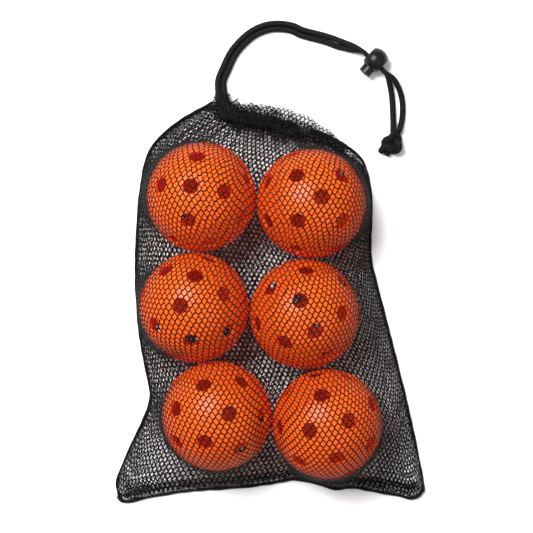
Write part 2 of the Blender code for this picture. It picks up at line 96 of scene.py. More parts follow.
LEFT_SEAM = (
    (-102.6, -130.6, 2.1), (-103.4, -121.5, 2.1), (-94.6, -100, 2.1), (-85.0, -79, 2.1),
    (-80.9, -66, 2.1), (-82.2, -54, 2.1), (-88.0, -23, 2.1), (-90.7, 12, 2.1),
    (-90.4, 43, 2.1), (-87.7, 78, 2.1), (-81.0, 104.5, 2.1), (-63.5, 122.2, 2.1),
    (-44.5, 133.2, 2.1),
)
BOTTOM_SEAM = (
    (-103.2, -131.6, 2.1), (-99.4, -135.2, 2.1), (-86.4, -132.7, 2.1), (-64.5, -128.8, 2.1),
    (-42.5, -126.7, 2.1), (-20.6, -125.3, 2.1), (1.4, -122.4, 2.1), (18, -119.8, 2.1),
    (34.3, -123.4, 2.1), (46, -126.4, 2.1), (58, -125.6, 2.1), (78.2, -129.2, 2.1),
    (90.0, -131.4, 2.1), (96.6, -133.0, 2.1), (101.6, -130.8, 2.1), (103.8, -127.4, 2.1),
)
RIGHT_SEAM = (
    (103.6, -126.6, 2.1), (102.6, -118, 2.1), (98.0, -94, 2.1), (92, -66.8, 2.1),
    (83.8, -33.9, 2.1), (73.9, 4.6, 2.1), (67.8, 32, 2.1), (68.3, 70.4, 2.1),
    (62.8, 95.8, 2.1), (50.0, 106.9, 2.6), (38.0, 112.8, 3.7), (26.5, 116.6, 4.7),
)


# ---------------------------------------------------------------- camera, light and floor

CAMERA_PLACE = (-0.0024, 0.0248, 1.35)
CAMERA_LENS = 132.4                 # millimetres, on a 36 mm sensor
LIGHT_TARGET = (0.0, 0.0, 0.03)
LIGHTS = (                          # name, place, size, power
    ("key", (-0.48, 0.57, 1.25), 0.8, 34.0),
    ("fill", (0.7, -0.6, 1.2), 1.2, 3.0),
)
WORLD_STRENGTH = 0.36
EXPOSURE = 0.3
FLOOR_HALF = 1.5


def make_camera():
    data = bpy.data.cameras.new("camera")
    data.sensor_width = 36.0
    data.lens = CAMERA_LENS
    data.clip_end = 10.0
    camera = bpy.data.objects.new("camera", data)
    camera.location = CAMERA_PLACE
    bpy.context.scene.collection.objects.link(camera)
    bpy.context.scene.camera = camera


def add_light(name, location, size, power):
    data = bpy.data.lights.new(name, "AREA")
    data.shape = "DISK"
    data.size = size
    data.energy = power
    light = bpy.data.objects.new(name, data)
    light.location = location
    aim = Vector(LIGHT_TARGET) - Vector(location)
    light.rotation_euler = aim.to_track_quat("-Z", "Y").to_euler()
    bpy.context.scene.collection.objects.link(light)


def make_studio():
    world = bpy.data.worlds.new("studio")
    bpy.context.scene.world = world
    world.use_nodes = True
    background = world.node_tree.nodes["Background"]
    background.inputs["Color"].default_value = (1.0, 1.0, 1.0, 1.0)
    background.inputs["Strength"].default_value = WORLD_STRENGTH
    bpy.context.scene.view_settings.view_transform = "Standard"
    bpy.context.scene.view_settings.exposure = EXPOSURE
    for light in LIGHTS:
        add_light(*light)
    bm = bmesh.new()
    bmesh.ops.create_grid(bm, x_segments=2, y_segments=2, size=FLOOR_HALF)
    floor = new_object("floor", mesh_from(bm, "floor"), floor_material())


# ---------------------------------------------------------------- materials

def new_material(name, colour, roughness):
    block = bpy.data.materials.new(name)
    block.use_nodes = True
    tree = block.node_tree
    shader = tree.nodes["Principled BSDF"]
    shader.inputs["Base Color"].default_value = (*colour, 1.0)
    shader.inputs["Roughness"].default_value = roughness
    return block, tree, shader


def add_noise(tree, scale, detail=3.0, roughness=0.5):
    coordinates = tree.nodes.new("ShaderNodeTexCoord")
    noise = tree.nodes.new("ShaderNodeTexNoise")
    noise.inputs["Scale"].default_value = scale
    noise.inputs["Detail"].default_value = detail
    noise.inputs["Roughness"].default_value = roughness
    tree.links.new(coordinates.outputs["Object"], noise.inputs["Vector"])
    return noise


def add_ramp(tree, source, low, high):
    """Blend two colours by a noise's value."""
    ramp = tree.nodes.new("ShaderNodeValToRGB")
    for element, position, colour in zip(ramp.color_ramp.elements, (0.3, 0.7), (low, high)):
        element.position = position
        element.color = (*colour, 1.0)
    tree.links.new(source.outputs["Fac"], ramp.inputs["Fac"])
    return ramp


def add_bump(tree, shader, source, strength, distance):
    bump = tree.nodes.new("ShaderNodeBump")
    bump.inputs["Strength"].default_value = strength
    bump.inputs["Distance"].default_value = distance
    tree.links.new(source.outputs["Fac"], bump.inputs["Height"])
    tree.links.new(bump.outputs["Normal"], shader.inputs["Normal"])


def floor_material():
    return new_material("floor_paper", (0.93, 0.93, 0.93), 0.9)[0]


def ball_material():
    block, tree, shader = new_material("ball_plastic", (1.0, 0.155, 0.007), 0.34)
    tone = add_ramp(tree, add_noise(tree, 28.0), (0.98, 0.145, 0.005), (1.0, 0.175, 0.009))
    tree.links.new(tone.outputs["Color"], shader.inputs["Base Color"])
    gloss = add_noise(tree, 160.0, 4.0)
    rough = tree.nodes.new("ShaderNodeMapRange")
    rough.inputs["To Min"].default_value = 0.28
    rough.inputs["To Max"].default_value = 0.42
    tree.links.new(gloss.outputs["Fac"], rough.inputs["Value"])
    tree.links.new(rough.outputs["Result"], shader.inputs["Roughness"])
    add_bump(tree, shader, add_noise(tree, 900.0, 2.0), 0.12, 0.00015)
    shader.inputs["Specular IOR Level"].default_value = 0.3
    glow = tree.nodes.new("ShaderNodeBsdfTranslucent")
    glow.inputs["Color"].default_value = (1.0, 0.045, 0.0, 1.0)
    mix = tree.nodes.new("ShaderNodeMixShader")
    mix.inputs["Fac"].default_value = 0.45
    tree.links.new(shader.outputs["BSDF"], mix.inputs[1])
    tree.links.new(glow.outputs["BSDF"], mix.inputs[2])
    tree.links.new(mix.outputs["Shader"], tree.nodes["Material Output"].inputs["Surface"])
    return block


def yarn_material(name, dark, light, roughness, scale):
    """Black yarn: fibres as fine noise in tone and bump, with a little sheen."""
    block, tree, shader = new_material(name, dark, roughness)
    tone = add_ramp(tree, add_noise(tree, scale, 4.0, 0.65), dark, light)
    tree.links.new(tone.outputs["Color"], shader.inputs["Base Color"])
    add_bump(tree, shader, add_noise(tree, 3 * scale, 2.0), 0.5, 0.0001)
    shader.inputs["Specular IOR Level"].default_value = 0.07
    return block


def lock_material():
    block, tree, shader = new_material("lock_plastic", (0.004, 0.004, 0.004), 0.33)
    tone = add_ramp(tree, add_noise(tree, 300.0), (0.003, 0.003, 0.003), (0.006, 0.006, 0.006))
    shader.inputs["Specular IOR Level"].default_value = 0.2
    tree.links.new(tone.outputs["Color"], shader.inputs["Base Color"])
    add_bump(tree, shader, add_noise(tree, 2500.0, 2.0), 0.25, 0.00008)
    return block


def spring_material():
    block, tree, shader = new_material("spring_steel", (0.55, 0.55, 0.56), 0.3)
    shader.inputs["Metallic"].default_value = 1.0
    tone = add_ramp(tree, add_noise(tree, 900.0), (0.48, 0.48, 0.5), (0.6, 0.6, 0.6))
    tree.links.new(tone.outputs["Color"], shader.inputs["Base Color"])
    return block


# ---------------------------------------------------------------- mesh helpers

def new_object(name, mesh, material=None):
    item = bpy.data.objects.new(name, mesh)
    bpy.context.scene.collection.objects.link(item)
    if material is not None:
        mesh.materials.clear()
        mesh.materials.append(material)
    return item


def mesh_from(bm, name, smooth=True):
    mesh = bpy.data.meshes.new(name)
    bm.to_mesh(mesh)
    bm.free()
    if smooth:
        mesh.shade_smooth()
    return mesh


def read_all(items, name, width, kind):
    """One property of every vertex, loop or face as a flat array."""
    values = np.empty(width * len(items), kind)
    items.foreach_get(name, values)
    return values


def mesh_from_arrays(name, points, quads):
    mesh = bpy.data.meshes.new(name)
    mesh.vertices.add(len(points))
    mesh.vertices.foreach_set("co", np.asarray(points, np.float32).ravel())
    mesh.loops.add(4 * len(quads))
    mesh.loops.foreach_set("vertex_index", np.asarray(quads, np.int32).ravel())
    mesh.polygons.add(len(quads))
    mesh.polygons.foreach_set("loop_start", np.arange(len(quads), dtype=np.int32) * 4)
    mesh.update(calc_edges=True)
    mesh.validate()
    mesh.shade_smooth()
    return mesh


def place(item, body, slot, *nodes):
    """Ride on a CAD body and stand for CAD nodes. The slot argument is not used."""
    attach(item, body)
    if nodes:
        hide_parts(*nodes)
    return item


def along_line(line):
    """Distance from the start at each point of a line."""
    return np.concatenate([[0], np.cumsum(np.linalg.norm(np.diff(line, axis=0), axis=1))])


def resample(line, at, along):
    return np.stack([np.interp(at, along, line[:, k]) for k in range(line.shape[1])], axis=1)


def smooth_curve(points, step):
    """Points about `step` apart on a Catmull-Rom curve through the rows of `points`."""
    rows = np.array(points, float)
    rows = np.vstack([2 * rows[0] - rows[1], rows, 2 * rows[-1] - rows[-2]])
    fine = []
    for before, start, end, after in zip(rows, rows[1:], rows[2:], rows[3:]):
        t = np.linspace(0, 1, 24, endpoint=False)[:, None]
        fine.append(0.5 * (2 * start + (end - before) * t
                           + (2 * before - 5 * start + 4 * end - after) * t ** 2
                           + (3 * start - before - 3 * end + after) * t ** 3))
    fine = np.vstack([*fine, rows[-2][None]])
    along = along_line(fine[:, :3])
    count = max(2, round(along[-1] / step) + 1)
    return resample(fine, np.linspace(0, along[-1], count), along)


def curve_of(points, count):
    """Exactly `count` points, evenly spaced on the smooth curve."""
    fine = smooth_curve(points, 0.25 * MM)
    return resample(fine, np.linspace(0, len(fine) - 1, count), np.arange(len(fine)))


def sideways(points, distance):
    """Shift a line of points to the right of its own direction, in plan."""
    heading = np.gradient(points[:, :2], axis=0)
    heading /= np.linalg.norm(heading, axis=1)[:, None]
    moved = points.copy()
    moved[:, 0] += heading[:, 1] * distance
    moved[:, 1] -= heading[:, 0] * distance
    return moved


def unit(vectors):
    return vectors / np.maximum(np.linalg.norm(vectors, axis=-1, keepdims=True), 1e-12)


def sweep(path, radius, sides, relief=None):
    """Points and quads of a round tube. `radius` is one value per point of the path.
    `relief(angle, along)` gives each surface point's radius as a part of the tube's."""
    tangent = unit(np.gradient(path, axis=0))
    side = unit(np.cross((0.0, 0.0, 1.0), tangent))
    above = np.cross(tangent, side)
    along = along_line(path)
    angle = np.linspace(0, 2 * math.pi, sides, endpoint=False)
    reach = np.broadcast_to(np.asarray(radius)[..., None], (len(path), sides))
    if relief is not None:
        reach = reach * relief(angle[None, :], along[:, None])
    rings = (path[:, None] + side[:, None] * (reach * np.cos(angle))[..., None]
             + above[:, None] * (reach * np.sin(angle))[..., None])
    points = np.concatenate([rings.reshape(-1, 3), path[:1], path[-1:]])
    ring, spoke = np.meshgrid(np.arange(len(path) - 1), np.arange(sides), indexing="ij")
    turn = (spoke + 1) % sides
    quads = np.stack([ring * sides + spoke, ring * sides + turn, (ring + 1) * sides + turn,
                      (ring + 1) * sides + spoke], axis=-1).reshape(-1, 4)
    first, last = len(points) - 2, len(points) - 1
    half = np.arange(0, sides, 2)
    base = (len(path) - 1) * sides
    start_cap = np.stack([np.full(len(half), first), (half + 2) % sides, half + 1, half], axis=1)
    end_cap = np.stack([np.full(len(half), last), base + half, base + half + 1,
                        base + (half + 2) % sides], axis=1)
    return points, np.concatenate([quads, start_cap, end_cap])


def object_from(name, parts, material):
    """One object of several (points, quads) parts."""
    points, quads, offset = [], [], 0
    for some_points, some_quads in parts:
        points.append(some_points)
        quads.append(some_quads + offset)
        offset += len(some_points)
    mesh = mesh_from_arrays(name, np.concatenate(points), np.concatenate(quads))
    return new_object(name, mesh, material)


# ---------------------------------------------------------------- drawcord

BRAID_CARRIERS = 8                  # strands each way round the cord
BRAID_LENGTH = 1.35 * MM            # length of one stitch along the cord
BRAID_LOW = 0.93                    # the relief's lowest and how far a stitch stands up from it
BRAID_HEIGHT = 0.24


def braid(angle, along):
    """Diamond stitches of a braided cord."""
    lean = math.pi * along / BRAID_LENGTH
    left = np.abs(np.sin(BRAID_CARRIERS * angle / 2 + lean))
    right = np.abs(np.sin(BRAID_CARRIERS * angle / 2 - lean))
    return BRAID_LOW + BRAID_HEIGHT * np.sqrt(left * right)


def strand_radius(path):
    distance = np.linalg.norm(path[:, :2] - np.array(LOCK_CENTRE[:2]), axis=1)
    ease = np.clip((distance - PINCH_HALF_LENGTH) / PINCH_RAMP, 0, 1)
    return PINCHED_RADIUS + (CORD_RADIUS - PINCHED_RADIUS) * ease


def rounded_ends(path, radius):
    """Round the last millimetre and a half of a cut cord, as a heat-sealed tip."""
    left = np.linalg.norm(path - path[-1], axis=1)
    tip = CORD_RADIUS * 0.8
    return radius * np.sqrt(np.clip(1 - np.clip(1 - left / tip, 0, 1) ** 2, 0.02, 1))


def make_strands():
    dark, light = (0.003, 0.003, 0.0032), (0.010, 0.010, 0.0105)
    material = yarn_material("cord_braid", dark, light, 0.6, 900.0)
    strands = []
    for name, route in (("cord_strand_a", STRAND_A), ("cord_strand_b", STRAND_B)):
        path = smooth_curve(np.array(route) * MM, 0.25 * MM)
        radius = strand_radius(path)
        path[:, 2] = np.maximum(path[:, 2], (BRAID_LOW + BRAID_HEIGHT) * radius)
        item = object_from(name + "_braid", [sweep(path, radius, 40, braid)], material)
        place(item, "bag", "cord", name)
        strands.append((item, path))
    loop = smooth_curve(np.array(HEM_ROUTE) * MM, 0.4 * MM)
    hidden = sweep(loop, np.full(len(loop), PINCHED_RADIUS), 32, braid)
    place(object_from("cord_in_hem", [hidden], material), "bag", "cord", "drawcord_loop")
    return strands, material


# The knot, in millimetres about its centre.
KNOT_CENTRE = (84.0, 109.2, 6.0)
KNOT_SIZE = 1.5                     # scale of the trefoil
KNOT_RISE = 2.2
KNOT_CORD_RADIUS = 2.05 * MM
PAIR_OFFSET = 1.25                  # half the distance of the two strands, across and up
TAIL_ENDS = ((-8.6, -6.4, -3.6), (-4.2, -8.4, -3.6))


def knot_paths():
    """Overhand knot: an open trefoil that both strands follow side by side."""
    turns = np.linspace(0.4, 2 * math.pi - 0.4, 30)
    x = KNOT_SIZE * (np.sin(turns) + 2 * np.sin(2 * turns))
    y = KNOT_SIZE * (np.cos(turns) - 2 * np.cos(2 * turns))
    z = -KNOT_RISE * np.sin(3 * turns)
    middle = np.column_stack([y, -x, z])
    lead = np.array([(2.6, 7.6, -1.4), (1.0, 4.4, 1.6)])
    middle = np.concatenate([lead, middle])
    tangent = unit(np.gradient(middle, axis=0))
    across = unit(np.cross(tangent, (0.0, 0.0, 1.0)))
    offset = PAIR_OFFSET * (across + np.array((0.0, 0.0, 1.0)))
    paths = []
    for sign, tail in zip((1, -1), TAIL_ENDS):
        strand = middle + sign * offset
        bend = (strand[-1] + np.array(tail)) / 2 + np.array((0.0, 0.0, -0.6))
        strand = np.concatenate([strand, [bend], [tail]])
        paths.append(smooth_curve((strand + np.array(KNOT_CENTRE)) * MM, 0.35 * MM))
    return paths


def make_knot(material):
    parts = []
    for path in knot_paths():
        radius = rounded_ends(path, np.full(len(path), KNOT_CORD_RADIUS))
        parts.append(sweep(path, radius, 32, braid))
    knot = object_from("cord_knot_wraps", parts, material)
    return place(knot, "bag", "cord", "cord_knot", "cord_tail_a", "cord_tail_b")


# ---------------------------------------------------------------- cord lock

# Along the plunger's axis from the lock's centre. The mouth, the bore and the button are
# wider here than in the CAD model.
LOCK_RADIUS = 8.5 * MM
LOCK_MOUTH = -6.8 * MM
LOCK_FLAT = 6.2 * MM
CORD_HOLE_RADIUS = 3.9 * MM
CORD_HOLE_SHIFT = -0.3 * MM
BORE_RADIUS = 4.55 * MM
BORE_END = 6.7 * MM
PLUNGER_RADIUS = 4.3 * MM
PLUNGER_ENDS = (-12.1 * MM, 3.6 * MM)
PLUNGER_POCKET = (3.1 * MM, 1.2 * MM)
SLOT = (-7.2 * MM, 0.05 * MM)
SLOT_HALF_HEIGHT = 3.1 * MM


def lock_matrix():
    """Local +Z along the plunger's axis, local +X along the cord."""
    angle = math.radians(LOCK_TURN)
    axis = Vector((math.cos(angle), math.sin(angle), 0))
    along_cord = Vector((math.sin(angle), -math.cos(angle), 0))
    down = axis.cross(along_cord)
    matrix = Matrix((along_cord, down, axis)).transposed().to_4x4()
    matrix.translation = Vector(LOCK_CENTRE)
    return matrix


def turned(name, profile, steps):
    bm = bmesh.new()
    verts = [bm.verts.new((radius, 0, height)) for radius, height in profile]
    for first, second in zip(verts, verts[1:]):
        bm.edges.new((first, second))
    item = new_object(name, mesh_from(bm, name, smooth=False))
    screw = item.modifiers.new("turn", "SCREW")
    screw.steps = screw.render_steps = steps
    screw.use_merge_vertices = True
    screw.merge_threshold = 0.00001
    return item


def cutter_from(bm, name):
    item = new_object(name, mesh_from(bm, name, smooth=False))
    item.hide_render = True
    return item


def finish_cuts(item, cutters, bevel=0.0):
    """Cut, round the edges, and leave plain mesh behind."""
    for cutter in cutters:
        modifier = item.modifiers.new(cutter.name, "BOOLEAN")
        modifier.operation = "DIFFERENCE"
        modifier.solver = "EXACT"
        modifier.object = cutter
    if bevel:
        modifier = item.modifiers.new("rounding", "BEVEL")
        modifier.width = bevel
        modifier.segments = 3
        modifier.limit_method = "ANGLE"
        modifier.angle_limit = math.radians(35)
        modifier.harden_normals = True
    graph = bpy.context.evaluated_depsgraph_get()
    mesh = bpy.data.meshes.new_from_object(item.evaluated_get(graph))
    item.modifiers.clear()
    item.data = mesh
    mesh.shade_smooth()
    mesh.set_sharp_from_angle(angle=math.radians(40))
    for cutter in cutters:
        bpy.data.objects.remove(cutter)
    return item


def box_cutter(name, low, high):
    bm = bmesh.new()
    middle = (Vector(low) + Vector(high)) / 2
    size = Vector(high) - Vector(low)
    shape = Matrix.Translation(middle) @ Matrix.Diagonal((*size, 1))
    bmesh.ops.create_cube(bm, size=1, matrix=shape)
    return cutter_from(bm, name)


def place_on_lock(item, body, slot, node):
    item.matrix_world = lock_matrix()
    return place(item, body, slot, node)


def make_lock():
    material = lock_material()
    mouth = math.asin(LOCK_MOUTH / LOCK_RADIUS)
    arc = np.linspace(math.pi / 2, mouth, 40)
    profile = [(0, LOCK_RADIUS)]
    profile += [(LOCK_RADIUS * math.cos(angle), LOCK_RADIUS * math.sin(angle)) for angle in arc[1:]]
    profile += [(BORE_RADIUS, LOCK_MOUTH), (BORE_RADIUS, BORE_END), (0, BORE_END)]
    barrel = turned("lock_ball_shell", profile, 72)
    reach = 2 * LOCK_RADIUS
    bm = bmesh.new()
    turn = Matrix.Translation((0, 0, CORD_HOLE_SHIFT)) @ Matrix.Rotation(math.pi / 2, 4, "Y")
    bmesh.ops.create_cone(bm, cap_ends=True, segments=48, radius1=CORD_HOLE_RADIUS,
                          radius2=CORD_HOLE_RADIUS, depth=2 * reach, matrix=turn)
    hole = cutter_from(bm, "hole_cutter")
    flats = [box_cutter("flat_cutter_a", (LOCK_FLAT, -reach, -reach), (reach, reach, reach)),
             box_cutter("flat_cutter_b", (-reach, -reach, -reach), (-LOCK_FLAT, reach, reach))]
    finish_cuts(barrel, [*flats, hole], 0.35 * MM)
    barrel.data.materials.append(material)
    place_on_lock(barrel, "cord_lock", "lock_plastic", "lock_barrel")
    outer, inner = PLUNGER_ENDS
    pocket_radius, pocket_depth = PLUNGER_POCKET
    dish = 0.5 * MM                 # the button's end is hollowed a little
    floor = inner - pocket_depth
    profile = ((0, floor), (pocket_radius, floor), (pocket_radius, inner), (PLUNGER_RADIUS, inner),
               (PLUNGER_RADIUS, outer), (0.7 * PLUNGER_RADIUS, outer),
               (0.55 * PLUNGER_RADIUS, outer + dish), (0, outer + dish))
    plunger = turned("lock_button", profile, 64)
    slot = box_cutter("slot_cutter", (-reach, -SLOT_HALF_HEIGHT, SLOT[0]),
                      (reach, SLOT_HALF_HEIGHT, SLOT[1]))
    finish_cuts(plunger, [slot], 0.3 * MM)
    plunger.data.materials.append(material)
    place_on_lock(plunger, "plunger", "lock_plastic", "lock_plunger")
    return barrel, plunger, make_spring()


SPRING_RADIUS = 2.5 * MM
SPRING_WIRE = 0.22 * MM
SPRING_ENDS = (2.68 * MM, 6.42 * MM)
SPRING_TURNS = 5                    # the first and the last lie closed


def make_spring():
    """Coil between the button's pocket and the end of the bore."""
    turns = np.linspace(0, SPRING_TURNS, 40 * SPRING_TURNS + 1)
    open_part = np.clip((turns - 1) / (SPRING_TURNS - 2), 0, 1)
    first, last = SPRING_ENDS
    closed = 2.1 * SPRING_WIRE      # rise over one closed turn
    height = (first + closed * np.minimum(turns, 1)
              + (last - first - 2 * closed) * open_part
              + closed * np.clip(turns - SPRING_TURNS + 1, 0, 1))
    angle = 2 * math.pi * turns
    path = np.column_stack([SPRING_RADIUS * np.cos(angle), SPRING_RADIUS * np.sin(angle), height])
    coil = sweep(path, np.full(len(path), SPRING_WIRE), 12)
    spring = object_from("lock_coil", [coil], spring_material())
    place_on_lock(spring, "cord_lock", "spring_steel", "lock_spring")
    matrix = lock_matrix()
    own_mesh(spring)
    return spring


# ---------------------------------------------------------------- balls

HOLE_FILLET = 0.45 * MM
HALF_GAP = 0.05 * MM                # the weld line's half width


def hole_directions():
    directions = []
    for count, tilt, first in HOLE_RINGS:
        for index in range(count):
            turn = Matrix.Rotation(math.radians(first + 360 * index / count), 3, "Z")
            lean = Matrix.Rotation(math.radians(tilt), 3, "Y")
            directions.append(turn @ lean @ Vector((0, 0, 1)))
    return directions


def hole_profile():
    """Radius and distance from the ball's centre along a hole's wall, flared at both faces."""
    reach = HOLE_RADIUS + HOLE_FILLET
    outer = math.sqrt(BALL_RADIUS ** 2 - reach ** 2)
    inner = math.sqrt((BALL_RADIUS - BALL_WALL) ** 2 - reach ** 2)
    steps = np.radians(np.linspace(20, 90, 5))
    flare = [(reach - HOLE_FILLET * math.sin(a), HOLE_FILLET * (1 - math.cos(a))) for a in steps]
    top = [(reach + 0.6 * MM, outer + 0.9 * MM)] + [(r, outer - d) for r, d in flare]
    bottom = [(r, inner + d) for r, d in flare][::-1] + [(reach + 0.6 * MM, inner - 0.9 * MM)]
    return [(0, outer + 0.9 * MM), *top, *bottom, (0, inner - 0.9 * MM)], outer, inner


def half_shell_mesh():
    """One moulded half with thirteen round-edged holes and exact normals on the sphere."""
    profile, outer, inner = hole_profile()
    bm = bmesh.new()
    bmesh.ops.create_uvsphere(bm, u_segments=96, v_segments=48, radius=BALL_RADIUS)
    inside = bmesh.ops.create_uvsphere(bm, u_segments=96, v_segments=48,
                                       radius=BALL_RADIUS - BALL_WALL)
    faces = {face for vert in inside["verts"] for face in vert.link_faces}
    bmesh.ops.reverse_faces(bm, faces=list(faces))
    shell = new_object("half_shell", mesh_from(bm, "half_shell"))
    below = box_cutter("other_half", (-0.1, -0.1, -0.1), (0.1, 0.1, HALF_GAP))
    drill = turned("drill", profile, 48)
    graph = bpy.context.evaluated_depsgraph_get()
    one = bpy.data.meshes.new_from_object(drill.evaluated_get(graph))
    bpy.data.objects.remove(drill)
    bm = bmesh.new()
    directions = hole_directions()
    for direction in directions:
        start = len(bm.verts)
        bm.from_mesh(one)
        bm.verts.ensure_lookup_table()
        turn = direction.to_track_quat("Z", "Y").to_matrix().to_4x4()
        bmesh.ops.transform(bm, matrix=turn, verts=bm.verts[start:])
    drills = cutter_from(bm, "drills")
    finish_cuts(shell, [below, drills])
    mesh = shell.data
    mesh.name = "ball_half_shell"
    bpy.data.objects.remove(shell)
    set_shell_normals(mesh, directions, outer - HOLE_FILLET, inner + HOLE_FILLET)
    return mesh


def set_shell_normals(mesh, directions, top, bottom):
    """Sphere faces get radial normals; hole walls get those of their flared profile."""
    corner = read_all(mesh.loops, "vertex_index", 1, np.int32)
    points = read_all(mesh.vertices, "co", 3, np.float32).reshape(-1, 3).astype(float)[corner]
    start = read_all(mesh.polygons, "loop_start", 1, np.int32)
    total = read_all(mesh.polygons, "loop_total", 1, np.int32)
    face_normal = read_all(mesh.polygons, "normal", 3, np.float32).reshape(-1, 3)
    order = np.argsort(start, kind="stable")
    back = np.argsort(order)
    face_of = np.repeat(order, total[order])
    distance = np.linalg.norm(points, axis=1)
    radial = points / distance[:, None]
    normal = face_normal[face_of].astype(float)
    slack = 0.1 * MM
    on_outer = np.minimum.reduceat(distance, start[order]) > BALL_RADIUS - slack
    on_inner = np.maximum.reduceat(distance, start[order]) < BALL_RADIUS - BALL_WALL + slack
    flat = np.abs(face_normal[order][:, 2]) > 0.999
    low = np.maximum.reduceat(points[:, 2], start[order]) < HALF_GAP + slack
    rim = (flat & low)[back][face_of]
    outer_loop = on_outer[back][face_of] & ~rim
    inner_loop = on_inner[back][face_of] & ~rim
    axes = np.array([tuple(d) for d in directions])
    along = points @ axes.T
    nearest = np.argmax(along, axis=1)
    axis = axes[nearest]
    height = along[np.arange(len(points)), nearest]
    off = points - axis * height[:, None]
    reach = np.linalg.norm(off, axis=1)
    out = off / np.maximum(reach, 1e-9)[:, None]
    inward = np.clip((reach - (HOLE_RADIUS + HOLE_FILLET)) / HOLE_FILLET, -1, 0)
    rise = (np.clip((height - top) / HOLE_FILLET, 0, 1)
            - np.clip((bottom - height) / HOLE_FILLET, 0, 1))
    wall = unit(out * np.minimum(inward, -0.05)[:, None] + axis * rise[:, None])
    normal = np.where(outer_loop[:, None], radial, normal)
    normal = np.where(inner_loop[:, None], -radial, normal)
    is_wall = ~(outer_loop | inner_loop | rim)
    normal = np.where(is_wall[:, None], wall, normal)
    mesh.normals_split_custom_set([tuple(n) for n in normal])


def make_balls():
    material = ball_material()
    mesh = half_shell_mesh()
    mesh.materials.clear()
    mesh.materials.append(material)
    flip = Matrix.Rotation(math.radians(HALF_STAGGER), 4, "Z") @ Matrix.Rotation(math.pi, 4, "X")
    joints = {joint["child"]: joint for joint in frame["joints"]}
    centres = []
    for index, tilt in enumerate(BALL_TILT):
        body = f"ball_{index + 1}"
        centre = Vector(joints[body]["pos_m"])
        centres.append(np.array(centre))
        turn = Matrix.Identity(4)
        for axis, angle in zip("XYZ", tilt):
            turn = Matrix.Rotation(math.radians(angle), 4, axis) @ turn
        for suffix, half in (("a", Matrix.Identity(4)), ("b", flip)):
            node = f"{body}_half_{suffix}"
            turned_mesh = mesh.copy()
            turned_mesh.transform(turn @ half)
            item = new_object(node + "_shell", turned_mesh)
            item.location = centre
            place(item, body, "ball_plastic", node)
    return centres


# ---------------------------------------------------------------- net

NET_PITCH = (3.70 * MM, 3.0 * MM)   # cell spacing across and along the bag
NET_SIDE = 0.10                     # half length of a cell's upright sides, as a part of the pitch
THREAD_RISE = 0.26 * MM
THIN_THREAD = (0.75, 0.81)          # size of a hole against its cell, at its tips and at its sides
THICK_THREAD = (0.66, 0.72)
EDGE_OUT = 1.3 * MM                 # how far a panel reaches past the middle of its seam
PANEL_WIDTH = 0.256                 # both panels are cut alike
TAUT_WIDTH = 0.222
FRONT_LENGTH = 0.330
COLUMNS = 110                       # the surface grid that the cells are laid on
ROWS = 120
NECK_LEFT = (-38.0, 136.6, 4.2)     # where the side seams run into the gathered mouth
NECK_RIGHT = (24.0, 117.2, 5.0)
PLEATS = 15
PLEAT_HEIGHT = 3.4 * MM
CREASE_HEIGHT = 0.8 * MM
SETTLE_STEPS = 200
DRAPE_STEPS = 320
DRAPE_FALL = 0.02 * MM              # how far the panel sinks in one step
BALL_CLEARANCE = 0.6 * MM
LOWEST = 1.2 * MM
STRETCH_PULL = 0.9                  # part of a pair's error that one pass takes away
SQUEEZE_PUSH = 0.6


def coons_patch(bottom, top, left, right):
    """Fill four edges: bottom and top run left to right, left and right run upwards."""
    u = np.linspace(0, 1, len(bottom))[:, None, None]
    v = np.linspace(0, 1, len(left))[None, :, None]
    corners = ((1 - u) * (1 - v) * bottom[0] + u * (1 - v) * bottom[-1]
               + (1 - u) * v * top[0] + u * v * top[-1])
    return ((1 - v) * bottom[:, None] + v * top[:, None]
            + (1 - u) * left[None] + u * right[None] - corners)


